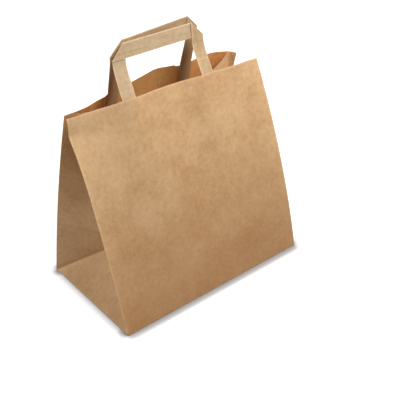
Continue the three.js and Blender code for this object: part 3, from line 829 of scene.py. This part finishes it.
def add_walls(shell, sheet):
    """The sheet's outer face, which steps out on the seam's lap and is rounded off at the base,
    its inner face a thickness behind, and the rim between them. The inner face's columns run
    the other way, so its cells are split the other way too. Gives both faces' lowest rows."""
    bag, grid = sheet.bag, sheet.points
    normals = grid_normals(grid, True)
    outer = grid + normals * (sheet.lap[..., None] * bag.paper)
    outer[0, :, 2] = bag.paper + BASE_ROUND
    inner = grid - normals * bag.paper
    inner[0] = base_row(bag, grid[0], bag.paper, 2 * bag.paper)
    low = [base_row(bag, grid[0], inset, bag.paper + rise) for inset, rise, _ in BASE_ROWS]
    outside = np.concatenate([low, outer])
    place = pattern_place(sheet.around, np.append([row[2] for row in BASE_ROWS], sheet.up)[:, None])
    wear_and_highlight = np.concatenate([np.ones((len(low), grid.shape[1])), sheet.wear_and_highlight])
    painted_shade = np.concatenate([sheet.painted_shade[:1]] * len(low) + [sheet.painted_shade])
    shell.grid(outside, True, BAG_OUTSIDE, place, wear_and_highlight, painted_shade, sheet.rising)

    place = pattern_place(sheet.around, sheet.up[:, None])[:, ::-1]
    turned = ~np.roll(sheet.rising[::-1], -1)
    # The inner face is made paler near the rear right corner: painted light
    pale = sheet.painted_light_inside[:, ::-1]
    shell.grid(inner[:, ::-1], True, BAG_INSIDE, place, pale, rising=turned)

    rim = np.stack([outer[-1], inner[-1]])
    place = pattern_place(sheet.around, np.full((2, 1), bag.height))
    shell.grid(rim, True, BAG_OUTSIDE, place, 1.0)
    return outside[0], inner[0]


def add_flap(shell, bag, outline, levels, kind):
    """A thin plate with the given outline, with its top and bottom as fans round its middle."""
    ring = np.array(outline, float)
    count = len(ring)
    low, high = (level * bag.paper for level in levels)
    both = [np.column_stack([ring, np.full(count, z)]) for z in (low, high)]
    points = np.vstack([*both, [*ring.mean(0), low], [*ring.mean(0), high]])
    i = np.arange(count)
    j = np.roll(i, -1)
    bottom = fan(count, 2 * count, facing_down=True)
    top = fan(count, count + 1) + count
    sides = np.vstack([np.stack([i, j, j + count], 1), np.stack([i, j + count, i + count], 1)])
    shell.add(points, np.vstack([bottom, top, sides]), kind, points[:, :2] * MM, FLAP_WEAR)


def add_flaps(shell, bag):
    """The block bottom's flaps, cut at 45 degrees: the front and rear ones overlap below the
    floor, and the side ones lie on it."""
    x, y, reach = bag.width / 2 - FLAP_INSET, bag.depth / 2 - FLAP_INSET, bag.overlap / 2
    cut = y + reach
    front = [(-x, -y), (x, -y), (x - cut, reach), (cut - x, reach)]
    rear = [(x, y), (-x, y), (cut - x - reach, 0), (x - cut + reach, 0)]
    add_flap(shell, bag, front, FRONT_FLAP, BAG_OUTSIDE)
    add_flap(shell, bag, rear, REAR_FLAP, BAG_OUTSIDE)
    for hand in (-1, 1):
        end = hand * (x - y + reach)
        side = [(hand * x, -y), (hand * x, y), (end, reach), (end, -reach)]
        add_flap(shell, bag, side[::hand], SIDE_FLAP, BAG_INSIDE)


def make_bag(bag, materials):
    """The bag's sheet with both faces, the rim between them, the floor and the base's flaps."""
    shell = Shell()
    under, floor = add_walls(shell, Sheet(bag))
    shell.cap(under, [0, 0, bag.paper], True, BAG_OUTSIDE, MM, 0.0)
    shell.cap(floor, [0, 0, 2 * bag.paper], False, BAG_INSIDE, MM, 0.0)
    add_flaps(shell, bag)
    return shell.make("bag_sheet", materials)


class Tape:
    """The middle surface of one handle's tape: rows along its path, and columns at given shares
    of its width from its outer edge, with the direction that it faces at each point."""

    def __init__(self, bag, panel, share):
        self.bag, self.panel = bag, panel
        self.half = bag.handle / 2
        self.across = self.half - bag.tape * share
        self.above = TOP_FLAT_MARGIN + bag.tape * share
        self.separation = bag.thickness + LAYER_GAP
        self.flat_top()

    def flat_top(self):
        """The plane of the handle's flat top: its start is as far above the mouth as the legs
        are long, and it leans from upright."""
        panel, top = self.panel, self.panel.top
        corners = []
        for leg, hand in ((0, -1), (1, 1)):
            mouth = panel.point(panel.fraction(np.array(hand * self.half)), self.bag.height)
            x, y = top["shift"] + hand * self.half, top["y"][leg]
            length = top["rise"][leg] - self.bag.tape - TOP_FLAT_MARGIN
            away = math.hypot(y - mouth[1], x - mouth[0])
            corners.append(np.array([x, y, mouth[2] + math.sqrt(length**2 - away**2)]))
        self.start = (corners[0] + corners[1]) / 2
        self.along = (corners[1] - corners[0]) / np.linalg.norm(corners[1] - corners[0])
        lean = math.radians(top["lean"])
        facing = np.cross(self.along, [0, math.sin(lean), math.cos(lean)])
        facing /= np.linalg.norm(facing)
        self.up = np.cross(facing, self.along)
        self.facing = facing * -panel.side

    def flat(self, across, height, layer):
        """A point of the flat top, in front of or behind the bar by a number of layers."""
        across, height = np.broadcast_arrays(np.asarray(across, float), np.asarray(height, float))
        place = self.start + self.along * across[..., None] + self.up * height[..., None]
        return place + self.facing * layer * self.separation

    def leg(self, hand, layer):
        """A leg from its glued end to its 45 degree end. Inside the bag it follows the panel,
        then it goes to the flat top as a cubic that leaves along the panel and arrives upright."""
        bag, panel, x = self.bag, self.panel, hand * self.across
        up = np.linspace(bag.height - bag.tuck, bag.height, GLUED_ROWS)[:, None]
        across = panel.fraction(x)[None, :]
        facing = panel.outward(across, up)
        glued = panel.point(across, up) - facing * (bag.leg_depth + bag.thickness / 2)
        start, end = glued[-1], self.flat(x, 0.0, layer)
        rising = glued[-1] - glued[-2]
        rising /= np.linalg.norm(rising, axis=-1, keepdims=True)
        length = np.linalg.norm(end - start, axis=-1)[None, :, None]
        t = np.linspace(0, 1, FREE_ROWS + 1)[1:, None, None]
        free = start * (2 * t**3 - 3 * t**2 + 1) + end * (3 * t**2 - 2 * t**3)
        free = free + rising * (t**3 - 2 * t**2 + t) * LEG_STIFFNESS[0] * length
        free = free + self.up * (t**3 - t**2) * LEG_STIFFNESS[1] * length
        turned = mix(facing[-1], self.facing, t)
        flat = self.flat(x, self.above * np.linspace(0, 1, FLAT_ROWS + 1)[1:, None], layer)
        points = np.concatenate([glued, free, flat])
        facing = np.concatenate([facing, turned, np.broadcast_to(self.facing, flat.shape)])
        return points, facing / np.linalg.norm(facing, axis=-1, keepdims=True)

    def fold(self, hand, layer, first):
        """The half turn over a 45 degree line: a half circle about the line midway between
        the two layers, bulging past the corner, while the tape's face turns over with it."""
        line = self.flat(hand * self.across, self.above, 0)
        out = (self.along * hand + self.up) / math.sqrt(2)
        angle = np.linspace(0, math.pi, TURN_ROWS + 2)[1:-1, None, None]
        radius = self.separation / 2
        points = line + self.facing * radius * (layer - np.cos(angle))
        points = points + out * radius * np.sin(angle)
        facing = (self.facing * np.cos(angle) - out * np.sin(angle)) * (1 if first else -1)
        return points, np.broadcast_to(facing, points.shape)

    def path(self):
        """The whole tape: up the leg that lies behind, over to the bar, over to the other leg
        and down."""
        first = self.panel.side
        up, up_facing = self.leg(first, -1)
        down, down_facing = self.leg(-first, 1)
        turn, turn_facing = self.fold(first, -1, True)
        last, last_facing = self.fold(-first, 1, False)
        start, end = (self.flat(hand * self.across, self.above, 0) for hand in (first, -first))
        bar = mix(start, end, np.linspace(0, 1, BAR_ROWS)[:, None, None])
        bar_facing = np.broadcast_to(-self.facing, bar.shape)
        points = [up, turn, bar, last, down[::-1]]
        facing = [up_facing, turn_facing, bar_facing, last_facing, down_facing[::-1]]
        return np.concatenate(points), np.concatenate(facing)


def tape_section(width, thickness):
    """The tape's outline as distance from its outer edge and height above its middle: two flat
    faces joined by half circles."""
    radius = thickness / 2
    turn = np.linspace(-math.pi / 2, math.pi / 2, SECTION_TURN)
    flat = np.linspace(radius, width - radius, SECTION_FLAT)[1:-1]
    right = np.stack([width - radius + radius * np.cos(turn), radius * np.sin(turn)], -1)
    left = np.stack([radius - radius * np.cos(turn), -radius * np.sin(turn)], -1)
    bottom = np.stack([flat, np.full(len(flat), -radius)], -1)
    top = np.stack([flat[::-1], np.full(len(flat), radius)], -1)
    return np.concatenate([bottom, right, top, left])


def tape_layers(bag, panel, section, length):
    """How the tape is made paler and darker. Its edges are rubbed paler and carry a painted
    highlight, by a bell curve of the distance, and the bend across one of the front legs is rubbed
    paler. Painted shade lies on the rear legs' face towards the bag's inside, by a level-ended step
    of the distance from the mouth."""
    total = length[-1, 0]
    edge = np.minimum(section[:, 0], bag.tape - section[:, 0])
    from_bend = total - bag.tuck - length - BEND_ABOVE_MOUTH
    bend = BEND_WEAR * bell(from_bend, BEND_WIDTH) * (panel.side == FRONT)
    wear_and_highlight = np.maximum(bell(edge, TAPE_EDGE_WEAR_AND_HIGHLIGHT)[None, :], bend)
    from_mouth = np.minimum(length, total - length) - bag.tuck
    shaded = (section[:, 1] < 0)[None, :] * (panel.side == REAR)
    return wear_and_highlight, LEG_PAINTED_SHADE * shaded * (1 - smooth_step(*LEG_PAINTED_SHADE_SLOPE, from_mouth))


def make_handle(bag, panel, name, materials):
    """A handle: the tape's section set across every row of its path and closed at both ends,
    with faint random waves."""
    section = tape_section(bag.tape, bag.thickness)
    width, height = section[:, 0], section[:, 1]
    middle, facing = Tape(bag, panel, width / bag.tape).path()
    step = np.linalg.norm(np.diff(middle.mean(1), axis=0), axis=-1)
    length = np.concatenate([[0], np.cumsum(step)])[:, None]
    wave = TAPE_WAVE * value_noise(length, width[None, :], TAPE_WAVE_CELL, TAPE_SEED[panel.side])
    points = middle + facing * (height + wave)[..., None]
    wear_and_highlight, painted_shade = tape_layers(bag, panel, section, length)
    place = pattern_place(width, length)
    outward = slice(None, None, -panel.side)
    shell = Shell()
    shell.grid(points[:, outward], True, 0, place[:, outward], wear_and_highlight[:, outward], painted_shade[:, outward])
    for row, at_start in ((0, True), (-1, False)):
        ring = points[row, outward]
        shell.cap(ring, ring.mean(0), at_start, 0, 0.0, TAPE_END_WEAR)
    return shell.make(name, materials)


def edge_rows(grid):
    """A grid's four edges, in order round it."""
    return grid[:, 0], grid[-1], grid[::-1, -1], grid[0, ::-1]


def make_patch(bag, panel, name, materials):
    """A patch: a sheet that lies along the panel and climbs over each leg by level-ended
    slopes, with its own thickness, cut edges and faint random waves."""
    x = np.linspace(-bag.patch_width / 2, bag.patch_width / 2, PATCH_COLUMNS)
    up = np.linspace(bag.patch_bottom, bag.patch_top, PATCH_ROWS)[:, None]
    beside_leg = np.abs(np.abs(x) - (bag.handle - bag.tape) / 2) - bag.tape / 2
    over = (bag.thickness + GLUE_GAP + PATCH_OVER) * (1 - smooth_step(*PATCH_SLOPE, beside_leg))
    start = x + PATCH_WAVE_START
    wave = PATCH_WAVE * value_noise(start, 0 * x + up, PATCH_WAVE_CELL, PATCH_SEED[panel.side])
    across = panel.fraction(x)[None, :]
    facing = panel.outward(across, up)
    base = panel.point(across, up)
    depth = (bag.leg_depth + PATCH_GAP + over + wave)[..., None]
    outward = slice(None, None, -panel.side)
    outer = (base - facing * depth)[:, outward]
    inner = (base - facing * (depth + bag.paper))[:, outward]
    place = pattern_place(x, up)
    shell = Shell()
    shell.grid(outer, False, 0, place)
    shell.grid(inner[:, ::-1], False, 0, place[:, ::-1])
    for pair in zip(edge_rows(outer), edge_rows(inner)):
        strip = np.stack(pair)
        shell.grid(strip, False, 0, np.zeros(strip.shape[:2] + (2,)), 1.0)
    return shell.make(name, materials)


class Value:
    """A node's output, with arithmetic on numbers that adds Math nodes. Colours are mixed by
    their graph."""

    def __init__(self, graph, socket):
        self.graph, self.socket = graph, socket

    def __add__(self, other):
        return self.graph.maths("ADD", self, other)

    def __mul__(self, other):
        return self.graph.maths("MULTIPLY", self, other)

    def __sub__(self, other):
        return self.graph.maths("SUBTRACT", self, other)

    def __rsub__(self, other):
        return self.graph.maths("SUBTRACT", other, self)

    def __pow__(self, other):
        return self.graph.maths("POWER", self, other)

    __radd__, __rmul__ = __add__, __mul__

    def between(self, low, high):
        """0 below low and 1 above high, with level ends."""
        settings = {"interpolation_type": "SMOOTHSTEP"}
        return self.graph.node("ShaderNodeMapRange", settings, {0: self, 1: low, 2: high})


class Graph:
    """The nodes of a material or of the world."""

    def __init__(self, owner):
        owner.use_nodes = True
        self.owner, self.tree = owner, owner.node_tree
        self.tree.nodes.clear()

    def node(self, kind, settings=None, inputs=None, output=0):
        """A node from its type, its settings and the values or links of its sockets, and one
        of its outputs, if it has any."""
        made = self.tree.nodes.new(kind)
        for key, value in (settings or {}).items():
            setattr(made, key, value)
        for key, value in (inputs or {}).items():
            if isinstance(value, Value):
                self.tree.links.new(value.socket, made.inputs[key])
            else:
                made.inputs[key].default_value = value
        return Value(self, made.outputs[output]) if made.outputs else None

    def maths(self, operation, *terms):
        """A Math node's result for its terms, values or numbers."""
        return self.node("ShaderNodeMath", {"operation": operation}, dict(enumerate(terms)))

    def blend(self, share, first, second):
        """A colour between two colours."""
        inputs = {0: share, 6: first, 7: second}
        return self.node("ShaderNodeMix", {"data_type": "RGBA"}, inputs, 2)

    def ray(self, kind):
        """1 for one kind of ray, such as Is Camera Ray, and 0 for the others."""
        return self.node("ShaderNodeLightPath", {}, {}, kind)

    def noise(self, place, detail, scale=1.0, stretch=(1, 1, 1), roughness=0.55, shift=(0, 0, 0)):
        """Smooth random values from 0 to 1. Scale is their cells per metre, and stretch those
        along each axis."""
        inputs = {"Vector": place, "Scale": stretch, "Location": shift}
        mapped = self.node("ShaderNodeMapping", {}, inputs)
        inputs = {"Vector": mapped, "Scale": scale, "Detail": detail, "Roughness": roughness}
        return self.node("ShaderNodeTexNoise", {}, inputs)

    def finish(self, kind, shader):
        """Links the shader to an output node and gives the material or world."""
        self.node(kind, {}, {"Surface": shader})
        return self.owner


def tinted(tone, factors):
    """A tone times a factor for each of red, green and blue, 1 at most, and opaque."""
    return (*(min(1.0, value * factor) for value, factor in zip(tone, factors)), 1.0)


def paper_noises(graph):
    """The noises of kraft paper: wide clouds, patches, mottling and fine grain that lie on the
    piece, and streaks and fibres that follow the paper up and across."""
    place = graph.node("ShaderNodeTexCoord", {}, {}, "Object")
    paper = graph.node("ShaderNodeUVMap", {"uv_map": "paper"})
    return {
        "clouds": graph.noise(place, scale=19.0, detail=3.0, shift=CLOUD_SHIFT),
        "patches": graph.noise(place, scale=62.0, detail=2.0),
        "mottling": graph.noise(place, scale=210.0, detail=4.0, roughness=0.72),
        "fine": graph.noise(place, scale=1500.0, detail=3.0, roughness=0.7),
        "streaks": graph.noise(paper, stretch=(420, 26, 1), detail=2.0),
        "fibres": graph.noise(paper, stretch=(2600, 420, 1), detail=3.0, roughness=0.7),
        "across": graph.noise(paper, stretch=(500, 2300, 1), detail=2.0, roughness=0.6),
    }


def paper_colour(graph, noises, tone, weights):
    """The tone between its dark and its light shade by the weighted sum of the noises, with
    dark fibres up the paper and pale ones across it."""
    terms = [(noises[name] - 0.5) * weight for name, weight in weights.items()]
    shade = sum(terms[1:], terms[0]) + 0.5
    colour = graph.blend(shade.between(0.0, 1.0), tinted(tone, DARK), tinted(tone, LIGHT))
    for name, ends, strength, factors in FIBRES:
        fibres = noises[name].between(*ends) * strength
        colour = graph.blend(fibres, colour, tinted(tone, factors))
    return colour


def kraft(name, tone, cloud=1.0, wear_and_highlight_strength=1.0, streak=1.0):
    """Unbleached kraft paper: wide soft clouds and small mottling in its tone, streaks along
    the paper's run, short pale and dark fibres, and paler, rougher folds and cut edges, rubbed
    and with a painted highlight. Its layers also lighten it with painted light and darken it
    with painted shade."""
    graph = Graph(bpy.data.materials.new(name))
    noises = paper_noises(graph)
    weights = dict(TONE_WEIGHTS)
    weights["clouds"] *= cloud
    weights["streaks"] *= streak
    colour = paper_colour(graph, noises, tone, weights)
    wear_and_highlight, painted_shade = (
        graph.node("ShaderNodeAttribute", {"attribute_name": layer}, {}, "Fac")
        for layer in ("wear_and_highlight", "painted_shade")
    )
    mottling = noises["mottling"]
    # Paler where the paper is rubbed and where a highlight or light is painted, and darker where
    # shade is painted
    lighten = wear_and_highlight * (mottling.between(*LIGHTEN_RANGE) * LIGHTEN_MOTTLED + LIGHTEN_EVEN) * wear_and_highlight_strength
    colour = graph.blend(lighten, colour, tinted(tone, WEAR_AND_HIGHLIGHT_TONE))
    colour = graph.blend(painted_shade, colour, tinted(tone, SHADED))
    terms = [noises[name] * weight for name, weight in HEIGHT_WEIGHTS.items()]
    relief = {"Strength": 0.35, "Distance": 0.00012, "Height": sum(terms[1:], terms[0])}
    rough = ROUGHNESS + (mottling - 0.5) * ROUGH_MOTTLED + wear_and_highlight * ROUGH_WORN
    shader = graph.node("ShaderNodeBsdfPrincipled", {}, {
        "Base Color": colour, "Roughness": rough, "Specular IOR Level": 0.28,
        "Normal": graph.node("ShaderNodeBump", {}, relief),
    })
    return graph.finish("ShaderNodeOutputMaterial", shader)


def floor_material(colour):
    """A plain white floor. It is lit and shaded for everything, and to the camera and in
    reflections some even light is added, so that it shows white and keeps the shadow. Near the
    bag that added light is taken away by a power of the ambient occlusion: a painted contact
    shadow."""
    graph = Graph(bpy.data.materials.new("floor_white"))
    place = graph.node("ShaderNodeTexCoord", {}, {}, "Object")
    grain = graph.noise(place, scale=60.0, detail=2.0)
    tone = graph.blend(grain.between(0.3, 0.7), tinted(colour, FLOOR_GRAIN), (*colour, 1.0))
    reach = {"Distance": CONTACT_REACH}
    open_air = graph.node("ShaderNodeAmbientOcclusion", {"samples": 16}, reach, "AO")
    seen = graph.maths("MAXIMUM", graph.ray("Is Camera Ray"), graph.ray("Is Glossy Ray"))
    glow = graph.blend(seen * open_air**CONTACT_POWER, (0, 0, 0, 1), (1, 1, 1, 1))
    shader = graph.node("ShaderNodeBsdfPrincipled", {}, {
        "Base Color": tone, "Roughness": 0.9, "Specular IOR Level": 0.0,
        "Emission Color": glow, "Emission Strength": FLOOR_GLOW,
    })
    return graph.finish("ShaderNodeOutputMaterial", shader)


def make_floor(colour):
    """The floor: one wide square."""
    mesh = bpy.data.meshes.new("floor")
    signs = ((-1, -1), (1, -1), (1, 1), (-1, 1))
    corners = [(x * FLOOR_HALF, y * FLOOR_HALF, 0) for x, y in signs]
    mesh.from_pydata(corners, [], [(0, 1, 2, 3)])
    mesh.materials.append(floor_material(colour))
    floor = bpy.data.objects.new("floor", mesh)
    bpy.context.scene.collection.objects.link(floor)
    return floor


def make_camera(lens):
    """The camera looks along its azimuth and elevation, turned about its axis by the roll."""
    a, e, r = (math.radians(v) for v in (CAMERA_AZIMUTH, CAMERA_ELEVATION, CAMERA_ROLL))
    back = Vector((math.sin(a) * math.cos(e), -math.cos(a) * math.cos(e), math.sin(e)))
    right = Vector((math.cos(a), math.sin(a), 0.0))
    above = back.cross(right)
    turn = Matrix.Rotation(r, 3, back)
    axes = Matrix([turn @ right, turn @ above, back]).transposed()
    data = bpy.data.cameras.new("camera")
    data.lens, data.sensor_width = lens, 36.0
    data.clip_start, data.clip_end = 0.01, 50.0
    camera = bpy.data.objects.new("camera", data)
    camera.matrix_world = Matrix.Translation(CAMERA_PLACE) @ axes.to_4x4()
    bpy.context.scene.collection.objects.link(camera)
    bpy.context.scene.camera = camera


def make_lamp(name, place, aim, size, power, colour):
    """A round soft lamp, turned from its place to its aim."""
    data = bpy.data.lights.new(name, "AREA")
    data.shape, data.size = "DISK", size
    data.energy, data.color = power, colour
    lamp = bpy.data.objects.new(name, data)
    lamp.location = place
    direction = Vector(aim) - Vector(place)
    lamp.rotation_euler = direction.to_track_quat("-Z", "Y").to_euler()
    bpy.context.scene.collection.objects.link(lamp)


def make_world():
    """Even white light from all round, and pure white where the camera sees past the floor."""
    world = bpy.data.worlds.new("white_studio")
    bpy.context.scene.world = world
    graph = Graph(world)
    levels = {"Value": graph.ray("Is Camera Ray"), "To Min": WORLD_LIGHT, "To Max": 1.0}
    strength = graph.node("ShaderNodeMapRange", {}, levels)
    white = {"Color": (1, 1, 1, 1), "Strength": strength}
    graph.finish("ShaderNodeOutputWorld", graph.node("ShaderNodeBackground", {}, white))


class PAPERBAG_OT_bag(bpy.types.Operator):
    """Build the folded sheet of the bag over its solid"""

    bl_idname = "paper_bag.bag"
    bl_label = "Build the bag"

    def execute(self, context):
        tones = context.scene.paper_tones
        outside = kraft("kraft_outside", tones.outside)
        inside = kraft("kraft_inside", tones.inside, cloud=0.9, streak=2.5)
        piece = make_bag(Bag(context.scene), [outside, inside])
        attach(piece, "root")
        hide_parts("bag_body")
        return {"FINISHED"}


class PAPERBAG_OT_handles(bpy.types.Operator):
    """Build both folded tape handles"""

    bl_idname = "paper_bag.handles"
    bl_label = "Build the handles"

    def execute(self, context):
        bag = Bag(context.scene)
        tone = context.scene.paper_tones.tape
        # The tape's edges turn paler than the sheet's: wear and a painted highlight
        material = kraft("kraft_tape", tone, cloud=0.9, wear_and_highlight_strength=1.5, streak=3.5)
        for panel, name in ((front_panel(bag), "front"), (rear_panel(bag), "rear")):
            piece = make_handle(bag, panel, name + "_tape_handle", [material])
            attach(piece, "root")
            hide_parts(name + "_handle")
        return {"FINISHED"}


class PAPERBAG_OT_patches(bpy.types.Operator):
    """Build the patches glued over the handles' legs"""

    bl_idname = "paper_bag.patches"
    bl_label = "Build the patches"

    def execute(self, context):
        bag = Bag(context.scene)
        material = kraft("kraft_patch", context.scene.paper_tones.patch)
        for panel, name in ((front_panel(bag), "front"), (rear_panel(bag), "rear")):
            piece = make_patch(bag, panel, name + "_patch", [material])
            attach(piece, "root")
            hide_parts(name + "_handle_patch")
        return {"FINISHED"}


class PAPERBAG_OT_stage(bpy.types.Operator):
    """Build the white floor, the lamps, the even light and the camera"""

    bl_idname = "paper_bag.stage"
    bl_label = "Build the stage"

    def execute(self, context):
        settings = context.scene.stage_settings
        floor = make_floor(settings.floor)
        for lamp in LAMPS:
            make_lamp(*lamp)
        make_world()
        make_camera(settings.lens)
        context.scene.view_settings.view_transform = "Standard"
        return {"FINISHED"}


class PAPERBAG_PT_panel(bpy.types.Panel):
    """The bag's sizes, colours and steps in the sidebar"""

    bl_idname = "PAPERBAG_PT_panel"
    bl_label = "Carrier bag"
    bl_space_type = "VIEW_3D"
    bl_region_type = "UI"
    bl_category = "Carrier bag"

    def draw(self, context):
        for name, group in GROUPS.items():
            box = self.layout.box()
            for setting in group.__annotations__:
                box.prop(getattr(context.scene, name), setting)
        for operator in STEPS:
            self.layout.operator(operator.bl_idname)


STEPS = (PAPERBAG_OT_stage, PAPERBAG_OT_bag, PAPERBAG_OT_handles, PAPERBAG_OT_patches)
GROUPS = {
    "bag_sizes": BagSizes, "handle_sizes": HandleSizes,
    "paper_tones": PaperTones, "stage_settings": StageSettings,
}
CLASSES = (*GROUPS.values(), *STEPS, PAPERBAG_PT_panel)


def register():
    """Registers the classes and gives the scene its groups of settings."""
    for cls in CLASSES:
        bpy.utils.register_class(cls)
    for name, group in GROUPS.items():
        setattr(bpy.types.Scene, name, PointerProperty(type=group))


def unregister():
    """Takes the groups and the classes away again."""
    for name in GROUPS:
        delattr(bpy.types.Scene, name)
    for cls in reversed(CLASSES):
        bpy.utils.unregister_class(cls)


def build():
    register()
    bpy.ops.paper_bag.stage()
    bpy.ops.paper_bag.bag()
    bpy.ops.paper_bag.handles()
    bpy.ops.paper_bag.patches()


if __name__ == "__main__":
    build()
